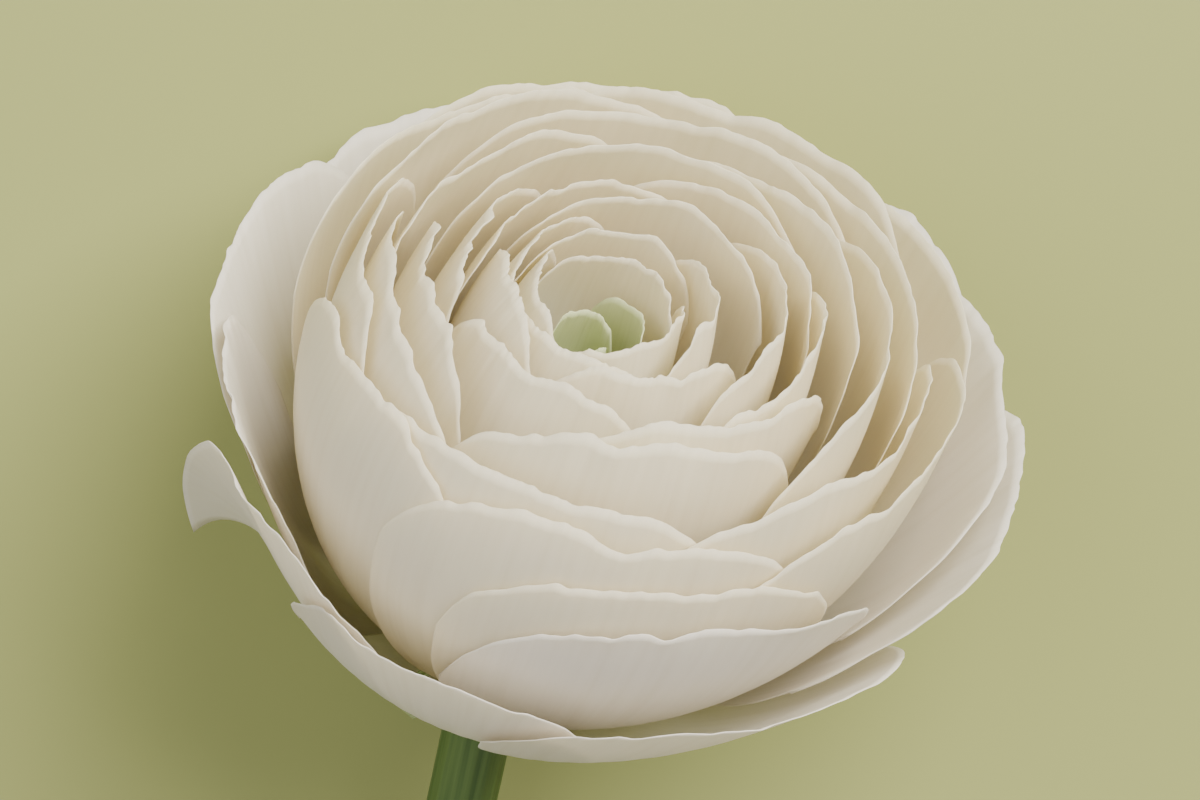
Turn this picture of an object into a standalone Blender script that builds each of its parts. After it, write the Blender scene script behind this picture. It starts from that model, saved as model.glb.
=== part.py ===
"""Cut ranunculus flower, lying down on its back petals and the cut end of its stem.

Every petal is a thin sheet on its own nested shell around the bloom axis, from the
closed heart (shell 0) to the open guard petals (shell 1), so no two petals cross.
Bloom frame: millimetres, Z out of the face, Y toward the side the flower lies on.
"""
import math

import bpy
import numpy as np

# ---- driving dimensions, millimetres and degrees ---------------------------------
AXIS_RISE = 30.0            # the bloom axis rises this much above the floor
RECEPTACLE_HEIGHT = 23.0    # the petals' seat above the floor before they settle
PETAL_THICKNESS = 0.22
CLAW = 0.30                 # width of a petal's foot as a share of its full width
STEM_DIAMETER = 7.0
STEM_STRAIGHT = 34.0        # straight length beyond the bend
PRESS_DEPTH = 5.0           # petals closer to the floor than this are bent by it
SEPAL_LENGTH = 10.0
TIP_DROOP = (7.0, 5.0)       # how far the drooping guard petal's corner goes out and down
ACROSS, ALONG = 5, 6        # cells over a petal

# profile of the shells: shell number, then four curve points (radius, height)
SHELLS = (
    (0.00, (1.4, 10.5), (3.5, 14), (4.5, 28), (0.8, 39.5)),
    (0.10, (2.0, 9.0), (5.5, 13), (10.5, 31), (5.6, 43)),
    (0.30, (3.1, 6.0), (11, 7.5), (19.5, 29), (12.8, 44)),
    (0.50, (4.1, 3.4), (16, 4), (28, 24), (21.8, 43.8)),
    (0.70, (4.9, 1.5), (19, 1), (33, 19.5), (29.5, 39.5)),
    (0.84, (5.3, 0.8), (20, -1), (33, 15.5), (34, 32.5)),
    (0.90, (5.4, 0.5), (20, -3), (29, 12.5), (37.5, 29)),
    (1.00, (5.6, 0.0), (20, -5), (31, 8), (41.5, 26.5)),
)
# how far each of those rims sits off the axis (x, y), and its rise toward +Y
OFF_CENTRE = ((0, 0, 0), (0, 0, 0), (3.2, 1.0, 0.5), (2.8, 0.5, 1.8),
              (4.0, 3.5, 3.0), (5.0, 5.5, 3.5), (5.2, 6.2, 3.6), (4.5, 5.5, 3.0))

# petal name, shell, azimuth, half width (degrees), height share, rounding of the rim
PETALS = (
    ("petal_heart_a", 0.00, 300, 80, 0.92, 0.10), ("petal_heart_b", 0.02, 110, 80, 0.93, 0.10),
    ("petal_heart_c", 0.04, 215, 75, 0.91, 0.12), ("petal_heart_d", 0.06, 20, 75, 0.93, 0.12),
    ("petal_heart_e", 0.08, 265, 70, 0.92, 0.12), ("petal_inner_a", 0.10, 75, 80, 0.98, 0.12),
    ("petal_inner_b", 0.12, 320, 75, 0.98, 0.12), ("petal_inner_c", 0.14, 190, 72, 1.00, 0.12),
    ("petal_inner_d", 0.16, 105, 72, 1.00, 0.12), ("petal_inner_e", 0.18, 5, 64, 1.00, 0.14),
    ("petal_inner_f", 0.20, 250, 60, 0.985, 0.14), ("petal_inner_g", 0.22, 150, 62, 1.00, 0.12),
    ("petal_inner_h", 0.24, 300, 52, 0.985, 0.15), ("petal_ring_a", 0.26, 80, 66, 1.01, 0.10),
    ("petal_ring_b", 0.28, 200, 54, 1.00, 0.12), ("petal_ring_c", 0.30, 5, 54, 1.00, 0.12),
    ("petal_ring_d", 0.32, 125, 60, 1.00, 0.12), ("petal_front_a", 0.345, 248, 50, 0.99, 0.12),
    ("petal_ring_e", 0.355, 42, 54, 1.00, 0.12), ("petal_left_a", 0.368, 160, 50, 1.00, 0.12),
    ("petal_right_a", 0.380, 347, 43, 1.00, 0.12), ("petal_back_a", 0.408, 92, 66, 1.02, 0.16),
    ("petal_front_b", 0.42, 308, 46, 1.00, 0.12), ("petal_left_b", 0.44, 196, 48, 1.00, 0.12),
    ("petal_right_b", 0.455, 42, 50, 1.00, 0.12), ("petal_front_c", 0.47, 285, 46, 1.00, 0.12),
    ("petal_left_c", 0.485, 135, 48, 1.00, 0.12), ("petal_left_d", 0.52, 200, 50, 1.00, 0.12),
    ("petal_right_c", 0.535, 2, 48, 1.00, 0.12), ("petal_back_b", 0.555, 85, 52, 1.01, 0.12),
    ("petal_left_e", 0.585, 178, 42, 1.00, 0.12), ("petal_right_d", 0.60, 30, 46, 1.00, 0.12),
    ("petal_front_d", 0.61, 262, 44, 1.00, 0.10), ("petal_back_c", 0.63, 118, 44, 1.01, 0.12),
    ("petal_right_e", 0.64, 334, 44, 1.00, 0.12), ("petal_left_f", 0.65, 216, 38, 1.00, 0.12),
    ("petal_back_d", 0.668, 72, 42, 1.01, 0.12), ("petal_front_e", 0.695, 280, 42, 1.00, 0.12),
    ("petal_right_f", 0.73, 344, 40, 1.00, 0.12), ("petal_back_e", 0.73, 125, 40, 1.00, 0.12),
    ("petal_front_f", 0.766, 293, 37, 0.99, 0.18), ("petal_back_f", 0.775, 48, 40, 1.00, 0.12),
    ("petal_back_g", 0.80, 98, 38, 1.02, 0.14), ("petal_guard_a", 0.836, 301, 42, 0.98, 0.26),
    ("petal_guard_b", 0.937, 217, 34, 0.98, 0.34), ("petal_guard_c", 0.870, 18, 36, 1.00, 0.24),
    ("petal_guard_d", 0.919, 157, 31, 1.02, 0.18), ("petal_guard_e", 0.958, 257, 37, 0.91, 0.24),
    ("petal_guard_f", 0.925, 0, 30, 1.00, 0.24), ("petal_guard_g", 0.896, 192, 30, 1.00, 0.24),
    ("petal_guard_h", 0.955, 58, 30, 1.00, 0.20), ("petal_guard_i", 0.98, 311, 40, 0.92, 0.22),
    ("petal_guard_j", 0.992, 113, 33, 1.00, 0.20),
)

MM = 0.001
RISE = math.radians(AXIS_RISE)
UP = np.array([0.0, -math.cos(RISE), math.sin(RISE)])   # world up seen from the bloom frame


def shell(s, a, t):
    """Point on shell s at azimuth a (radians), t from the foot (0) to the rim (1)."""
    keys = [row[0] for row in SHELLS]
    cx, cy, tilt = (np.interp(s, keys, [row[j] for row in OFF_CENTRE]) for j in range(3))
    shift, gain = cx * np.cos(a) + cy * np.sin(a), tilt * np.sin(a)
    r = h = 0.0
    shares = ((0, 0), (0.25, 0.05), (0.8, 0.35), (1, 1))
    for i, (kr, kh) in enumerate(shares):
        weight = math.comb(3, i) * t ** i * (1 - t) ** (3 - i)
        r = r + weight * (np.interp(s, keys, [row[i + 1][0] for row in SHELLS]) + kr * shift)
        h = h + weight * (np.interp(s, keys, [row[i + 1][1] for row in SHELLS]) + kh * gain)
    lean = 0.05 * h + 1.5 * (np.maximum(h, 0) / 43.0) ** 4
    return np.stack([r * np.cos(a) + lean, r * np.sin(a), h], -1)


def settle(points):
    """Bend whatever comes near the floor so that it lies along it, never through it."""
    gap = points @ UP + RECEPTACLE_HEIGHT
    low = gap < PRESS_DEPTH
    bent = np.where(low, PRESS_DEPTH * np.exp((np.minimum(gap, PRESS_DEPTH) - PRESS_DEPTH)
                                              / PRESS_DEPTH), gap)
    return points + (bent - gap)[..., None] * UP


def material(name, rgb, roughness):
    mat = bpy.data.materials.new(name)
    mat.use_nodes = True
    bsdf = mat.node_tree.nodes["Principled BSDF"]
    bsdf.inputs["Base Color"].default_value = (*rgb, 1.0)
    bsdf.inputs["Roughness"].default_value = roughness
    bsdf.inputs["Metallic"].default_value = 0.0
    return mat


def sheet(name, points, thickness, rgb, roughness, parent):
    """Thin closed body from a grid of points in millimetres, thickened by Solidify."""
    rows, cols = points.shape[:2]
    index = np.arange(rows * cols).reshape(rows, cols)
    faces = np.stack([index[:-1, :-1], index[:-1, 1:], index[1:, 1:], index[1:, :-1]], -1)
    mesh = bpy.data.meshes.new(name)
    mesh.from_pydata((points.reshape(-1, 3) * MM).tolist(), [], faces.reshape(-1, 4).tolist())
    obj = bpy.data.objects.new(name, mesh)
    flower.objects.link(obj)
    obj.data.materials.append(material(name, rgb, roughness))
    solid = obj.modifiers.new("thickness", "SOLIDIFY")
    solid.thickness, solid.offset = thickness * MM, 0.0
    obj.parent = parent
    return obj


def petal_points(s, azimuth, half, height, rounding, droop=0.0):
    """Petal outline laid on its shell: narrow foot, broad top, rounded rim."""
    u, v = np.meshgrid(np.linspace(-1, 1, ACROSS + 1), np.linspace(0, 1, ALONG + 1) ** 0.9)
    width = CLAW + (1 - CLAW) * np.sin(np.pi / 2 * np.clip(v / 0.75, 0, 1)) ** 1.2
    a = math.radians(azimuth) + math.radians(half) * u * width
    t = height * v * (1 - rounding * np.abs(u) ** 4 * v ** 2)
    out = droop * np.clip((-0.25 - u) / 0.75, 0, 1) ** 2 * v ** 3
    push = np.stack([out * TIP_DROOP[0] * np.cos(a), out * TIP_DROOP[0] * np.sin(a),
                     -out * TIP_DROOP[1]], -1)
    return settle(shell(np.full_like(a, s), a, t) + push)


# ---- build -----------------------------------------------------------------------
for old in list(bpy.data.objects):
    bpy.data.objects.remove(old, do_unlink=True)
flower = bpy.data.collections.new("ranunculus")
bpy.context.scene.collection.children.link(flower)
bloom = bpy.data.objects.new("bloom_axis", None)
flower.objects.link(bloom)

lowest = 1e9
for name, s, azimuth, half, height, rounding in PETALS:
    points = petal_points(s, azimuth, half, height, rounding, float(name == "petal_guard_b"))
    lowest = min(lowest, float((points @ UP).min()))
    tone = min(1.0, s / 0.25)
    rgb = (0.66 + 0.14 * tone, 0.70 + 0.07 * tone, 0.42 + 0.25 * tone)
    sheet(name, points, PETAL_THICKNESS, rgb, 0.6, bloom)
floor = lowest - 0.5 * PETAL_THICKNESS - 0.05

# green sepals under the guard petals, folded back toward the stem
for k in range(5):
    u, v = np.meshgrid(np.linspace(-1, 1, 5), np.linspace(0, 1, 5))
    a = math.radians(20 + 72 * k) + u * (0.50 - 0.36 * v ** 1.5) * (1 - 0.25 * v)
    r = 4.95 + 0.80 * SEPAL_LENGTH * v
    h = -1.9 - 0.22 * SEPAL_LENGTH * v ** 1.3
    sheet("sepal_%d" % (k + 1), np.stack([r * np.cos(a), r * np.sin(a), h], -1), 0.35,
          (0.30, 0.36, 0.14), 0.65, bloom)

# ---- pose: the face looks up and along +Y, the stem runs to -Y --------------------
bloom.rotation_euler = (-(math.pi / 2 - RISE), 0.0, 0.0)
bloom.location = (0.0, 0.0, -floor * MM)

# stem: one grown piece from the seat of the petals down to the cut end
radius = STEM_DIAMETER / 2
seat = -floor
route = [(d, r) for d, r in ((11.0, 0.5), (9.8, 1.15), (7.6, 2.1), (5.2, 2.95), (3.2, 3.7),
                             (1.6, 4.45), (0.2, 5.0), (-1.4, 4.6), (-3.2, 3.9), (-5.5, 3.5))]
axis = np.array([0.0, math.cos(RISE), math.sin(RISE)])
line = [(np.array([0.0, 0.0, seat]) + d * axis, r) for d, r in route]
neck = line[-1][0]
bend = (neck[2] - radius) / (1 - math.cos(RISE))
for k in range(1, 13):
    angle = RISE * (1 - k / 12)
    arc = np.array([-1.5 * (k / 12) ** 2, -bend * (math.sin(RISE) - math.sin(angle)),
                    -bend * (math.cos(angle) - math.cos(RISE))])
    line.append((neck + arc, radius))
end = line[-1][0] + np.array([-2.0, -STEM_STRAIGHT, 0.0])
line.append((end, radius))
curve = bpy.data.curves.new("stem", "CURVE")
curve.dimensions = "3D"
spline = curve.splines.new("POLY")
spline.points.add(len(line) - 1)
for knot, (place, r) in zip(spline.points, line):
    knot.co = (*(place * MM), 1.0)
    knot.radius = r / radius
curve.bevel_depth = radius * MM
curve.bevel_resolution = 2
curve.use_fill_caps = True
stem = bpy.data.objects.new("stem", curve)
flower.objects.link(stem)
stem.data.materials.append(material("stem", (0.14, 0.20, 0.05), 0.55))

# ---- origin: middle of the bounding box's base ------------------------------------
bpy.context.view_layer.update()
graph = bpy.context.evaluated_depsgraph_get()
corners = []
for obj in (o for o in flower.objects if o.type in {"MESH", "CURVE"}):
    shape = obj.evaluated_get(graph)
    spots = np.array([(obj.matrix_world @ vert.co)[:] for vert in shape.to_mesh().vertices])
    corners += [spots.min(0), spots.max(0)]
    shape.to_mesh_clear()
low, high = np.min(corners, 0), np.max(corners, 0)
for obj in (bloom, stem):
    obj.location.x -= (low[0] + high[0]) / 2
    obj.location.y -= (low[1] + high[1]) / 2
    obj.location.z -= low[2]
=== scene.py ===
# %% [markdown]
# # A cut ranunculus, petal by petal
# A ranunculus is a ball of thin petals wrapped one over the other round a green
# heart. The petals never pass through each other: each one lies on its own "shell"
# round the bloom axis, the way the skins of an onion do. This lesson builds the
# flower from that one idea, and then adds what makes it look alive: ragged rims,
# fine veins, thin glowing edges and a ribbed green stem.

# %% Start from the solid model
import math
import bpy
import numpy as np
from mathutils import Matrix, Vector


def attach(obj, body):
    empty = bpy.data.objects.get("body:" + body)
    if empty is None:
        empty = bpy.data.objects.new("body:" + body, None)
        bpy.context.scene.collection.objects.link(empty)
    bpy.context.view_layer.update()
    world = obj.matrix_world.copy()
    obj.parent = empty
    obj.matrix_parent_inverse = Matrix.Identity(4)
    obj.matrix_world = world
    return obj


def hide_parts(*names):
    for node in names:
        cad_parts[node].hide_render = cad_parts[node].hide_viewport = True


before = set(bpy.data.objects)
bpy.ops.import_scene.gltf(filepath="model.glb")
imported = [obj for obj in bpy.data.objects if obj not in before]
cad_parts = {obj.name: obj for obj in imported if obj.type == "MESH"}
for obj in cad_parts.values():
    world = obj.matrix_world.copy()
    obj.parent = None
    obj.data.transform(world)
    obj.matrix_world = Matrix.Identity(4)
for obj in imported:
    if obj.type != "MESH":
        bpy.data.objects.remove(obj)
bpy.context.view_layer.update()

# %% [markdown]
# ## Sizes
# The flower lies down: it rests on its back petals and on the cut end of the stem,
# so the bloom axis rises thirty degrees above the floor. Lengths are millimetres in
# the bloom's own frame, with Z out of the face. One matrix turns it into the world,
# so every petal can be thought of as standing upright round a plain vertical axis.

# %% Driving sizes
MM = 0.001
RISE = math.radians(30.0)
SEAT = np.array([-6.6891, 22.1425, 22.0044])     # where the bloom axis starts
PRESS_DEPTH, PRESS_SEAT = 5.0, 23.0
STEM_RADIUS, STEM_STRAIGHT = 3.5, 34.0
STEM_SHIFT = SEAT * (1, 1, 0)
SEPAL_LENGTH, SEPAL_FOOT, SEPAL_TIP = 10.0, 0.40, 0.20   # length, then thickness at both ends
PETAL_FOOT, PETAL_RIM = 0.22, 0.09                # thickness at the foot and at the rim
CLAW, WIDE_AT = 0.30, 0.75                        # share of the width at the foot; where it is full
DROOPING, TIP_DROOP = "petal_guard_b", (7.0, 5.0)  # its corner hangs outward and down
ACROSS, ALONG = 130, 34                           # cells over one petal
UP = np.array([0.0, -math.cos(RISE), math.sin(RISE)])
TURN = np.array([[1, 0, 0], [0, math.sin(RISE), math.cos(RISE)],
                 [0, -math.cos(RISE), math.sin(RISE)]])
print("bloom axis rises", round(math.degrees(RISE)), "degrees; stem", 2 * STEM_RADIUS, "mm thick")

# %% [markdown]
# ## The shells
# Petals could be posed one at a time, or scattered by a spiral rule and pushed apart
# until they stop touching. Nested shells keep the petals apart from the start: a
# petal is a patch of its shell. Eight profiles, from the closed heart to the open
# guard petals, are four-point curves of radius and height, and the shells between
# them are blended. The rims of the outer shells sit a little off the axis, because
# real blooms open more on one side.

# %% Profiles of the shells
SHELLS = (
    (0.00, (1.4, 10.5), (3.5, 14), (4.5, 28), (0.8, 39.5)),
    (0.10, (2.0, 9.0), (5.5, 13), (10.5, 31), (5.6, 43)),
    (0.30, (3.1, 6.0), (11, 7.5), (19.5, 29), (12.8, 44)),
    (0.50, (4.1, 3.4), (16, 4), (28, 24), (21.8, 43.8)),
    (0.70, (4.9, 1.5), (19, 1), (33, 19.5), (29.5, 39.5)),
    (0.84, (5.3, 0.8), (20, -1), (33, 15.5), (34, 32.5)),
    (0.90, (5.4, 0.5), (20, -3), (29, 12.5), (37.5, 29)),
    (1.00, (5.6, 0.0), (20, -5), (31, 8), (41.5, 26.5)),
)
OFF_CENTRE = ((0, 0, 0), (0, 0, 0), (3.2, 1.0, 0.5), (2.8, 0.5, 1.8),
              (4.0, 3.5, 3.0), (5.0, 5.5, 3.5), (5.2, 6.2, 3.6), (4.5, 5.5, 3.0))
KEYS = [row[0] for row in SHELLS]


def shell(s, a, t):
    """Point of shell s at azimuth a: a cubic curve from the foot (t=0) to the rim (t=1)."""
    cx, cy, tilt = (np.interp(s, KEYS, [row[j] for row in OFF_CENTRE]) for j in range(3))
    shift, gain = cx * np.cos(a) + cy * np.sin(a), tilt * np.sin(a)
    r = h = 0.0
    for i, (kr, kh) in enumerate(((0, 0), (0.25, 0.05), (0.8, 0.35), (1, 1))):
        weight = math.comb(3, i) * t ** i * (1 - t) ** (3 - i)
        r = r + weight * (np.interp(s, KEYS, [row[i + 1][0] for row in SHELLS]) + kr * shift)
        h = h + weight * (np.interp(s, KEYS, [row[i + 1][1] for row in SHELLS]) + kh * gain)
    lean = 0.05 * h + 1.5 * (np.maximum(h, 0) / 43.0) ** 4
    return np.stack([r * np.cos(a) + lean, r * np.sin(a), h], -1)


def settle(points):
    """Near the floor the height falls off exponentially, so a petal lies along it."""
    gap = points @ UP + PRESS_SEAT
    bent = np.where(gap < PRESS_DEPTH,
                    PRESS_DEPTH * np.exp((np.minimum(gap, PRESS_DEPTH) - PRESS_DEPTH)
                                         / PRESS_DEPTH), gap)
    return points + (bent - gap)[..., None] * UP


def to_world(points):
    """Turn bloom millimetres into the flower's place on the floor, in metres."""
    return (points @ TURN.T + SEAT) * MM


print("shells run from", KEYS[0], "at the heart to", KEYS[-1], "at the guard petals")

# %% [markdown]
# ## The petals
# A double ranunculus has far more petals than a wild one, since its stamens have
# turned into petals. They come in a loose spiral, so neighbours overlap like tiles.
# Each row is one petal: its name, its shell, the direction it faces, half its width
# in degrees, how far up the shell it reaches, and how round its rim is.

# %% The list of petals
PETALS = (
    ("petal_heart_a", 0.00, 300, 80, 0.92, 0.10), ("petal_heart_b", 0.02, 110, 80, 0.93, 0.10),
    ("petal_heart_c", 0.04, 215, 75, 0.91, 0.12), ("petal_heart_d", 0.06, 20, 75, 0.93, 0.12),
    ("petal_heart_e", 0.08, 265, 70, 0.92, 0.12), ("petal_inner_a", 0.10, 75, 80, 0.98, 0.12),
    ("petal_inner_b", 0.12, 320, 75, 0.98, 0.12), ("petal_inner_c", 0.14, 190, 72, 1.00, 0.12),
    ("petal_inner_d", 0.16, 105, 72, 1.00, 0.12), ("petal_inner_e", 0.18, 5, 64, 1.00, 0.14),
    ("petal_inner_f", 0.20, 250, 60, 0.985, 0.14), ("petal_inner_g", 0.22, 150, 62, 1.00, 0.12),
    ("petal_inner_h", 0.24, 300, 52, 0.985, 0.15), ("petal_ring_a", 0.26, 80, 66, 1.01, 0.10),
    ("petal_ring_b", 0.28, 200, 54, 1.00, 0.12), ("petal_ring_c", 0.30, 5, 54, 1.00, 0.12),
    ("petal_ring_d", 0.32, 125, 60, 1.00, 0.12), ("petal_front_a", 0.345, 248, 50, 0.99, 0.12),
    ("petal_ring_e", 0.355, 42, 54, 1.00, 0.12), ("petal_left_a", 0.368, 160, 50, 1.00, 0.12),
    ("petal_right_a", 0.380, 347, 43, 1.00, 0.12), ("petal_back_a", 0.408, 92, 66, 1.02, 0.16),
    ("petal_front_b", 0.42, 308, 46, 1.00, 0.12), ("petal_left_b", 0.44, 196, 48, 1.00, 0.12),
    ("petal_right_b", 0.455, 42, 50, 1.00, 0.12), ("petal_front_c", 0.47, 285, 46, 1.00, 0.12),
    ("petal_left_c", 0.485, 135, 48, 1.00, 0.12), ("petal_left_d", 0.52, 200, 50, 1.00, 0.12),
    ("petal_right_c", 0.535, 2, 48, 1.00, 0.12), ("petal_back_b", 0.555, 85, 52, 1.01, 0.12),
    ("petal_left_e", 0.585, 178, 42, 1.00, 0.12), ("petal_right_d", 0.60, 30, 46, 1.00, 0.12),
    ("petal_front_d", 0.61, 262, 44, 1.00, 0.10), ("petal_back_c", 0.63, 118, 44, 1.01, 0.12),
    ("petal_right_e", 0.64, 334, 44, 1.00, 0.12), ("petal_left_f", 0.65, 216, 38, 1.00, 0.12),
    ("petal_back_d", 0.668, 72, 42, 1.01, 0.12), ("petal_front_e", 0.695, 280, 42, 1.00, 0.12),
    ("petal_right_f", 0.73, 344, 40, 1.00, 0.12), ("petal_back_e", 0.73, 125, 40, 1.00, 0.12),
    ("petal_front_f", 0.766, 293, 37, 0.99, 0.18), ("petal_back_f", 0.775, 48, 40, 1.00, 0.12),
    ("petal_back_g", 0.80, 98, 38, 1.02, 0.14), ("petal_guard_a", 0.836, 301, 42, 0.98, 0.26),
    ("petal_guard_b", 0.937, 217, 34, 0.98, 0.34), ("petal_guard_c", 0.870, 18, 36, 1.00, 0.24),
    ("petal_guard_d", 0.919, 157, 31, 1.02, 0.18), ("petal_guard_e", 0.958, 257, 37, 0.91, 0.24),
    ("petal_guard_f", 0.925, 0, 30, 1.00, 0.24), ("petal_guard_g", 0.896, 192, 30, 1.00, 0.24),
    ("petal_guard_h", 0.955, 58, 30, 1.00, 0.20), ("petal_guard_i", 0.98, 311, 40, 0.92, 0.22),
    ("petal_guard_j", 0.992, 113, 33, 1.00, 0.20),
)
print(len(PETALS), "petals")

# %% [markdown]
# ## Relief of a petal
# Real petals are never smooth: slow lobes shape the rim, small ragged steps nibble
# it, and it crinkles where it dried first. A displacement texture could do this, but
# working it into the grid keeps it in the mesh itself. Each wave has a depth, a count
# across the petal, and a power that says how fast it fades away from the rim.

# %% Depths and counts of the relief
LOBES = ((0.008, 2.7), (0.005, 6.1), (0.003, 13))        # share of the length, waves
NIBBLES = ((0.0055, 14), (0.0035, 31), (0.0022, 62))     # share of the length, knots
CRINKLES = ((0.20, 19, 12), (0.10, 43, 24))              # millimetres, knots, fading power
BROAD_CRINKLE, VEIN_DEPTH, SWELL_DEPTH, ROLL_OUT = 0.14, 0.022, 0.06, 0.22    # millimetres
SHELL_STEP = 42.0                                        # millimetres from shell 0 to shell 1
HEART_BELOW, HEART_NIBBLE, HEART_CALM = 0.09, 0.25, 0.35  # heart shells, and their share
SEED = 11
print(len(LOBES) + len(NIBBLES) + len(CRINKLES), "kinds of wave and step")

# %% [markdown]
# ## One petal
# The sheet is worked out from two numbers, u across and v along. A real petal has a
# narrow foot and a broad top. Its rim is lobed by slow waves and nibbled by small
# ones, it crinkles only near the edge, and the very edge rolls outward a little.
# Sculpting each petal by hand would give the same kind of shape, but fifty-three of
# them would drift apart in style; one function with a seed for each keeps them kin.


# %% Sheet of one petal
def ragged(rng, u, knots):
    """Random heights between -1 and 1 at even knots across the petal, joined by straight runs."""
    return np.interp(u, np.linspace(-1, 1, knots), rng.uniform(-1, 1, knots))


def petal_sheet(s, azimuth, half, height, rounding, seed, droop=0.0):
    """Middle surface of a petal as a grid; waves grow with v so that the foot stays plain."""
    u, v = np.meshgrid(np.linspace(-1, 1, ACROSS + 1), np.linspace(0, 1, ALONG + 1) ** 0.8)
    rng = np.random.default_rng(seed)
    p = rng.uniform(0, 2 * math.pi, 12)
    width = CLAW + (1 - CLAW) * np.sin(np.pi / 2 * np.clip(v / WIDE_AT, 0, 1)) ** 1.2
    a = math.radians(azimuth) + math.radians(half) * u * width
    in_heart = s < HEART_BELOW
    soft = (0.35 + 0.65 * (1 - u ** 4)) * (HEART_NIBBLE if in_heart else 1.0)
    lobes = sum(depth * np.sin(waves * u + p[i]) for i, (depth, waves) in enumerate(LOBES))
    nibble = soft * sum(depth * ragged(rng, u, knots) for depth, knots in NIBBLES)
    t = height * v * (1 - rounding * np.abs(u) ** 4 * v ** 2 - 0.05 * np.abs(u) ** 14 * v ** 4)
    t = t * (1 + lobes * v ** 3 + nibble * v ** 12)
    crinkle = BROAD_CRINKLE * np.sin(9 * u + p[7] + 3 * v) * v ** 10
    for depth, knots, power in CRINKLES:
        crinkle = crinkle + depth * ragged(rng, u, knots) * v ** power
    vein = (VEIN_DEPTH * np.sin(38 * u + p[10]) * np.sin(np.pi * v)
            + SWELL_DEPTH * np.sin(7 * u + p[11]) * v ** 3)
    roll = ROLL_OUT * v ** 24
    calm = HEART_CALM if in_heart else 1.0
    out = droop * np.clip((-0.25 - u) / 0.75, 0, 1) ** 2 * v ** 3
    push = np.stack([out * TIP_DROOP[0] * np.cos(a), out * TIP_DROOP[0] * np.sin(a),
                     -out * TIP_DROOP[1]], -1)
    lift = (calm * (crinkle + vein) + roll) / SHELL_STEP
    return settle(shell(s + lift, a, t) + push), u, v


trial = petal_sheet(0.5, 0, 45, 1.0, 0.12, SEED)[0]
print("a middle petal reaches", round(float(trial[..., 2].max()), 1), "mm up the bloom")

# %% [markdown]
# ## Thickness
# A petal is about a fifth of a millimetre thick and thinner at its rim. The Solidify
# modifier would do for an even sheet; here two faces are set off either side of the
# middle, since the thickness changes, and the open edge is closed by a strip.


# %% Two faces and a closed edge
def closed_sheet(points, thick_foot, thick_rim, v):
    """Two faces half a thickness either side of the grid, joined round the edge."""
    across, along = np.gradient(points, axis=1), np.gradient(points, axis=0)
    normal = np.cross(across, along)
    normal /= np.linalg.norm(normal, axis=-1, keepdims=True) + 1e-12
    half = 0.5 * (thick_foot + (thick_rim - thick_foot) * v)[..., None]
    rows, cols = points.shape[:2]
    grid = np.arange(rows * cols).reshape(rows, cols)
    quads = np.stack([grid[:-1, :-1], grid[:-1, 1:], grid[1:, 1:], grid[1:, :-1]], -1).reshape(-1, 4)
    loop = np.concatenate([grid[0, :-1], grid[:-1, -1], grid[-1, :0:-1], grid[:0:-1, 0]])
    after = np.roll(loop, -1)
    shift = rows * cols
    edge = np.stack([loop, loop + shift, after + shift, after], -1)
    faces = np.concatenate([quads, quads[:, ::-1] + shift, edge])
    return np.concatenate([(points + half * normal).reshape(-1, 3),
                           (points - half * normal).reshape(-1, 3)]), faces


print("a closed petal has", len(closed_sheet(trial, PETAL_FOOT, PETAL_RIM,
                                             np.ones(trial.shape[:2]))[1]), "quads")

# %% [markdown]
# ## Arrays into meshes
# Adding corners one by one is slow. Blender's foreach_set takes the whole array at
# once, for corners, quads and the UV map alike.


# %% Mesh from whole arrays
def make_mesh(name, verts, faces, uv=None):
    """Mesh object at the origin from whole arrays of corners and quads, with a UV map."""
    mesh = bpy.data.meshes.new(name)
    mesh.vertices.add(len(verts))
    mesh.vertices.foreach_set("co", verts.astype(np.float32).ravel())
    mesh.loops.add(faces.size)
    mesh.loops.foreach_set("vertex_index", faces.astype(np.int32).ravel())
    mesh.polygons.add(len(faces))
    mesh.polygons.foreach_set("loop_start", np.arange(0, faces.size, 4, dtype=np.int32))
    mesh.polygons.foreach_set("use_smooth", np.ones(len(faces), bool))
    mesh.update(calc_edges=True)
    if uv is not None:
        layer = mesh.uv_layers.new(name="UVMap")
        layer.data.foreach_set("uv", uv[faces.ravel()].astype(np.float32).ravel())
    obj = bpy.data.objects.new(name, mesh)
    bpy.context.scene.collection.objects.link(obj)
    return obj


print("meshes before building:", len(bpy.data.meshes))

# %% [markdown]
# ## Petal material
# Light both bounces off a petal and comes through it. Subsurface scattering is meant
# for thick things, so this material mixes a satin surface with a translucent one.
# Colour runs from a green-yellow foot to a creamy top, with faint veins running up
# the petal and a soft mottle over it. Heart petals are greener, guard petals greyer.


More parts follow.
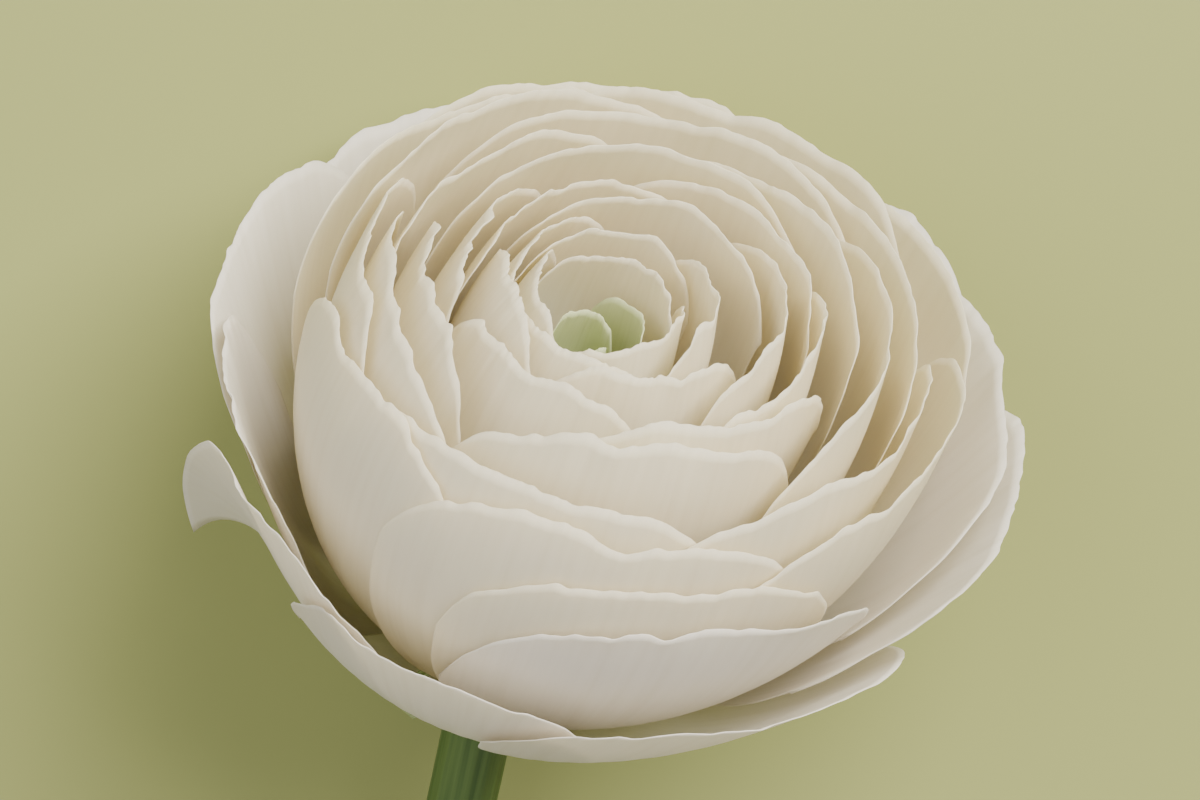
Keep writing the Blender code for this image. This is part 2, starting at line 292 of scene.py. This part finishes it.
# %% Petal materials
def petal_material(name, top, foot, through, share):
    """Base colour blends foot to top along v; veins tint it slightly, and veins and mottle bump it.
    """
    mat = bpy.data.materials.new(name)
    mat.use_nodes = True
    tree = mat.node_tree
    new, link = tree.nodes.new, tree.links.new
    shader = tree.nodes["Principled BSDF"]
    shader.inputs["Roughness"].default_value = 0.58
    shader.inputs["Specular IOR Level"].default_value = 0.28
    place = new("ShaderNodeTexCoord")
    split = new("ShaderNodeSeparateXYZ")
    link(place.outputs["UV"], split.inputs[0])
    ramp = new("ShaderNodeValToRGB")
    ramp.color_ramp.elements[0].color = (*foot, 1)
    ramp.color_ramp.elements[1].color = (*top, 1)
    ramp.color_ramp.elements[0].position, ramp.color_ramp.elements[1].position = 0.10, 0.72
    link(split.outputs["Y"], ramp.inputs[0])
    veins = new("ShaderNodeTexNoise")
    stretch = new("ShaderNodeMapping")
    stretch.inputs["Scale"].default_value = (46.0, 2.2, 1.0)
    link(place.outputs["UV"], stretch.inputs[0])
    link(stretch.outputs[0], veins.inputs["Vector"])
    veins.inputs["Scale"].default_value = 1.0
    veins.inputs["Detail"].default_value = 3.0
    mottle = new("ShaderNodeTexNoise")
    link(place.outputs["Object"], mottle.inputs["Vector"])
    mottle.inputs["Scale"].default_value = 160.0
    tint = new("ShaderNodeMixRGB")
    tint.blend_type = "MULTIPLY"
    shade = new("ShaderNodeValToRGB")
    shade.color_ramp.elements[0].color = (0.90, 0.885, 0.85, 1)
    shade.color_ramp.elements[1].color = (1, 1, 1, 1)
    shade.color_ramp.elements[0].position, shade.color_ramp.elements[1].position = 0.32, 0.58
    link(veins.outputs[0], shade.inputs[0])
    tint.inputs[0].default_value = 0.55
    link(ramp.outputs[0], tint.inputs[1])
    link(shade.outputs[0], tint.inputs[2])
    link(tint.outputs[0], shader.inputs["Base Color"])
    both = new("ShaderNodeMath")
    both.operation = "ADD"
    link(veins.outputs[0], both.inputs[0])
    link(mottle.outputs[0], both.inputs[1])
    bump = new("ShaderNodeBump")
    bump.inputs["Strength"].default_value = 0.16
    bump.inputs["Distance"].default_value = 0.0003
    link(both.outputs[0], bump.inputs["Height"])
    link(bump.outputs[0], shader.inputs["Normal"])
    glow = new("ShaderNodeBsdfTranslucent")
    glow.inputs["Color"].default_value = (*through, 1)
    mix = new("ShaderNodeMixShader")
    mix.inputs[0].default_value = share
    link(shader.outputs[0], mix.inputs[1])
    link(glow.outputs[0], mix.inputs[2])
    link(mix.outputs[0], tree.nodes["Material Output"].inputs[0])
    return mat


# top colour, foot colour, colour of the light that comes through, and its share
LOOKS = {
    "petal_heart": petal_material("heart petal", (0.80, 0.84, 0.56), (0.42, 0.52, 0.16),
                                  (0.72, 0.80, 0.38), 0.40),
    "petal": petal_material("creamy petal", (0.93, 0.89, 0.77), (0.82, 0.77, 0.42),
                            (0.97, 0.90, 0.68), 0.46),
    "petal_guard": petal_material("guard petal", (0.90, 0.865, 0.80), (0.70, 0.72, 0.44),
                                  (0.94, 0.88, 0.76), 0.40),
}
print(len(LOOKS), "petal materials")

# %% [markdown]
# ## Putting the petals in place
# Every petal is made once, with its own seed, and takes the place of the solid of
# the same name, so that any petal can still be picked out, moved or recoloured.

# %% Build all petals
corners_total = 0
for number, (name, s, azimuth, half, height, rounding) in enumerate(PETALS):
    points, u, v = petal_sheet(s, azimuth, half, height, rounding, SEED + number,
                               float(name == DROOPING))
    verts, faces = closed_sheet(to_world(points) / MM, PETAL_FOOT, PETAL_RIM, v)
    uv = np.stack([(u * 0.5 + 0.5).ravel(), v.ravel()], -1)
    obj = make_mesh(name + "_sheet", verts * MM, faces, np.concatenate([uv, uv]))
    kind = "petal_heart" if "heart" in name else "petal_guard" if "guard" in name else "petal"
    obj.data.materials.append(LOOKS[kind])
    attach(obj, "root")
    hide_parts(name)
    corners_total += len(verts)
print(len(PETALS), "petals,", corners_total, "corners")

# %% [markdown]
# ## Stem and sepals
# The stem and the seat of the petals grow as one piece. A closed tube follows the
# stem's line: it swells to the seat, leaves it through an arc and ends in a straight
# run on the floor. Fine ribs run along it. Five small green sepals spread below.


# %% Green material
def green_material(name, dark, light):
    """Green with pale streaks along the piece and a little bump."""
    mat = bpy.data.materials.new(name)
    mat.use_nodes = True
    tree = mat.node_tree
    new, link = tree.nodes.new, tree.links.new
    shader = tree.nodes["Principled BSDF"]
    shader.inputs["Roughness"].default_value = 0.5
    place = new("ShaderNodeTexCoord")
    stretch = new("ShaderNodeMapping")
    noise = new("ShaderNodeTexNoise")
    stretch.inputs["Scale"].default_value = (26.0, 3.0, 1.0)
    link(place.outputs["UV"], stretch.inputs[0])
    link(stretch.outputs[0], noise.inputs["Vector"])
    noise.inputs["Scale"].default_value = 1.0
    ramp = new("ShaderNodeValToRGB")
    ramp.color_ramp.elements[0].color, ramp.color_ramp.elements[1].color = (*dark, 1), (*light, 1)
    ramp.color_ramp.elements[0].position, ramp.color_ramp.elements[1].position = 0.35, 0.68
    link(noise.outputs[0], ramp.inputs[0])
    link(ramp.outputs[0], shader.inputs["Base Color"])
    bump = new("ShaderNodeBump")
    bump.inputs["Strength"].default_value = 0.25
    bump.inputs["Distance"].default_value = 0.0003
    link(noise.outputs[0], bump.inputs["Height"])
    link(bump.outputs[0], shader.inputs["Normal"])
    return mat


stem_green = green_material("stem green", (0.040, 0.085, 0.014), (0.095, 0.155, 0.035))
leaf = green_material("sepal green", (0.20, 0.26, 0.07), (0.42, 0.46, 0.20))
print("greens:", stem_green.name, "and", leaf.name)

# %% [markdown]
# ## The stem's line
# A bevelled curve would give a tube of one thickness, but this stem swells to the
# seat of the petals. So a row of centre points and radii is written down first.

# %% Line of the stem
axis = np.array([0.0, math.cos(RISE), math.sin(RISE)])
seat = np.array([0.0, 0.0, SEAT[2]])
SWELL = ((11.0, 0.05), (10.9, 0.5), (9.8, 1.15), (7.6, 2.1), (5.2, 2.95), (3.2, 3.7),
         (1.6, 4.4), (0.2, 4.95), (-1.4, 4.6), (-3.2, 3.9), (-5.5, 3.5))   # along, radius
ROUND, RIB_COUNT, RIB_DEPTH = 64, 14, 0.012
line = [seat + d * axis for d, r in SWELL]
radii = [r for d, r in SWELL]
neck = line[-1]
bend = (neck[2] - STEM_RADIUS) / (1 - math.cos(RISE))
step = np.linspace(0, 1, 41)[1:]
angle = RISE * (1 - step)
arc = np.stack([-1.5 * step ** 2, -bend * (math.sin(RISE) - np.sin(angle)),
                -bend * (np.cos(angle) - math.cos(RISE))], -1)
end = neck + arc[-1]
straight = end + np.linspace(0, 1, 16)[1:, None] * np.array([-2.0, -STEM_STRAIGHT, 0.0])
spine = np.concatenate([np.array(line), neck + arc, straight, straight[-1:] + [0, -0.02, 0]])
thick = np.concatenate([radii, np.full(len(arc) + len(straight), STEM_RADIUS), [0.05]])
print("stem runs", round(float(np.linalg.norm(np.diff(spine, axis=0), axis=1).sum())), "mm")

# %% [markdown]
# ## The stem's skin
# Rings of corners are set square to the line and joined into a closed tube. Each
# ring dips fourteen times, which gives the fine ribs of a ranunculus stem.

# %% Skin of the stem
run = np.gradient(spine, axis=0)
run[-1] = run[-2] = run[-3]
run /= np.linalg.norm(run, axis=1, keepdims=True)
side = np.cross(run, [0.0, 0.0, 1.0])
side /= np.linalg.norm(side, axis=1, keepdims=True)
lift = np.cross(side, run)
turn = np.linspace(0, 2 * math.pi, ROUND + 1)[:-1]
ribs = 1 - RIB_DEPTH * (1 + np.sin(RIB_COUNT * turn)) * (thick > 0.94 * STEM_RADIUS)[:, None]
ring = thick[:, None] * ribs
tube = (spine[:, None] + ring[..., None] * (np.cos(turn)[None, :, None] * side[:, None]
                                            + np.sin(turn)[None, :, None] * lift[:, None]))
rows, cols = tube.shape[:2]
grid = np.arange(rows * cols).reshape(rows, cols)
right = np.roll(grid, -1, axis=1)
skin = np.stack([grid[:-1], grid[1:], right[1:], right[:-1]], -1).reshape(-1, 4)
middle = cols // 2
ends = [np.stack([g[:middle - 1], g[1:middle], g[::-1][1:middle], g[::-1][:middle - 1]], -1)
        for g in (grid[0], grid[-1])]
faces = np.concatenate([skin, ends[0], ends[1][:, ::-1]])
uv = np.stack(np.broadcast_arrays(turn[None] / (2 * math.pi), np.linspace(0, 1, rows)[:, None]), -1)
stem = make_mesh("stem_and_seat", (tube.reshape(-1, 3) + STEM_SHIFT) * MM, faces, uv.reshape(-1, 2))
stem.data.materials.append(stem_green)
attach(stem, "root")
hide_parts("stem")
print("stem built,", len(faces), "quads")

# %% [markdown]
# ## Sepals
# Five small leaves closed the bud and now spread under the open bloom. Each one is
# a pointed patch, made with the same helper as the petals.

# %% Sepals
for k in range(5):
    u, v = np.meshgrid(np.linspace(-1, 1, 17), np.linspace(0, 1, 17))
    a = math.radians(20 + 72 * k) + u * (0.50 - 0.36 * v ** 1.5) * (1 - 0.25 * v)
    r = 4.95 + 0.80 * SEPAL_LENGTH * v
    h = -1.9 - 0.22 * SEPAL_LENGTH * v ** 1.3 - 0.20 * u ** 2 * v
    points = np.stack([r * np.cos(a), r * np.sin(a), h], -1)
    verts, faces = closed_sheet(to_world(points) / MM, SEPAL_FOOT, SEPAL_TIP, v)
    uv = np.stack([(u * 0.5 + 0.5).ravel(), v.ravel()], -1)
    obj = make_mesh("sepal_leaf_%d" % (k + 1), verts * MM, faces, np.concatenate([uv, uv]))
    obj.data.materials.append(leaf)
    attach(obj, "root")
    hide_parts("sepal_%d" % (k + 1))
print("five sepals built")

# %% [markdown]
# ## Table, light and camera
# A plain pale green-yellow table, one big soft window-like light from behind and to
# the right, a weaker fill from the left, and a camera that looks down on the face.

# %% Table
TABLE_HALF = 2.0                                  # metres
corners = TABLE_HALF * np.array([[-1, -1, 0], [1, -1, 0], [1, 1, 0], [-1, 1, 0]], float)
table = make_mesh("table", corners, np.array([[0, 1, 2, 3]]))
paint = bpy.data.materials.new("table paint")
paint.use_nodes = True
paint.node_tree.nodes["Principled BSDF"].inputs["Base Color"].default_value = (0.30, 0.32, 0.105, 1)
paint.node_tree.nodes["Principled BSDF"].inputs["Roughness"].default_value = 0.9
table.data.materials.append(paint)
print("table", 2 * TABLE_HALF, "m wide")


# %% Lights
def soft_light(name, direction, distance, size, power, colour):
    """Square area light that faces the bloom from the given direction."""
    lamp = bpy.data.lights.new(name, "AREA")
    lamp.shape, lamp.size, lamp.energy, lamp.color = "SQUARE", size, power, colour
    obj = bpy.data.objects.new(name, lamp)
    bpy.context.scene.collection.objects.link(obj)
    toward = Vector(direction).normalized()
    obj.location = toward * distance + Vector((0, 0.04, 0.03))
    obj.rotation_euler = toward.to_track_quat("Z", "Y").to_euler()


soft_light("window", (0.40, 0.74, 0.66), 1.0, 0.80, 30.0, (1.0, 0.965, 0.90))
soft_light("fill", (-0.70, 0.10, 0.7), 1.2, 1.4, 10.0, (0.95, 0.96, 1.0))
world = bpy.data.worlds.new("room")
bpy.context.scene.world = world
world.use_nodes = True
world.node_tree.nodes["Background"].inputs[0].default_value = (0.95, 0.96, 0.90, 1)
world.node_tree.nodes["Background"].inputs[1].default_value = 0.50
print("two soft lights and a pale room")

# %% Camera
TILT, ROLL, DISTANCE, LENS = math.radians(50.0), math.radians(12.0), 400.0, 127.2
AIM = np.array([5.11, 4.96, 25.91])
back = TURN @ np.array([0, -math.sin(TILT), math.cos(TILT)])
lifted = np.array([0, math.cos(TILT), math.sin(TILT)])
right = TURN @ (math.cos(ROLL) * np.array([1.0, 0, 0]) + math.sin(ROLL) * lifted)
upward = TURN @ (math.cos(ROLL) * lifted - math.sin(ROLL) * np.array([1.0, 0, 0]))
lens = bpy.data.cameras.new("camera")
lens.sensor_width, lens.lens = 36.0, LENS
camera = bpy.data.objects.new("camera", lens)
bpy.context.scene.collection.objects.link(camera)
place = Matrix(np.stack([right, upward, back], -1).tolist()).to_4x4()
place.translation = Vector(to_world(AIM) + back * DISTANCE * MM)
camera.matrix_world = place
bpy.context.scene.camera = camera
print("camera", [round(c, 3) for c in camera.location])
